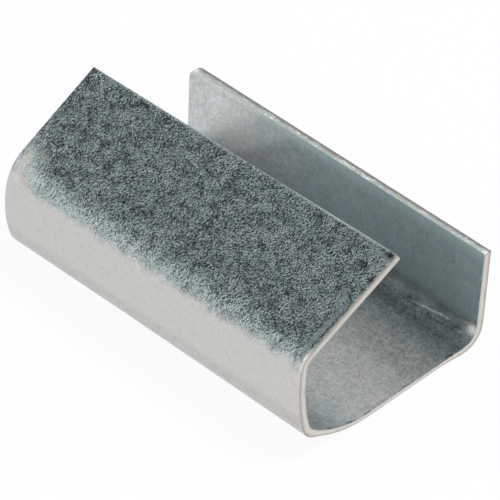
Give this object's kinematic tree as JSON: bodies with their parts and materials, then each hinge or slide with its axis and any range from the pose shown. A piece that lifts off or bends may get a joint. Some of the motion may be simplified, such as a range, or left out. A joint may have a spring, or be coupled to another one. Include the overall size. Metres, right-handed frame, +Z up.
{
  "type": "semi-open strapping seal",
  "caption": "Folded zinc-plated steel seal with a flat floor, an upright flange and a raised flap, crimped over overlapping strap ends to join them.",
  "frame": {"origin": "under the middle of the seal, on the face that it rests on", "axes": "+X along the strap, +Y from the bulged leg towards the upright flange, +Z up from the resting face"},
  "size_m": [0.028, 0.0182, 0.013],
  "materials": {
    "zinc_plated_steel": "zinc plating, satin, finely mottled"
  },
  "bodies": {
    "root": {"seal": "zinc_plated_steel"}
  },
  "joints": []
}
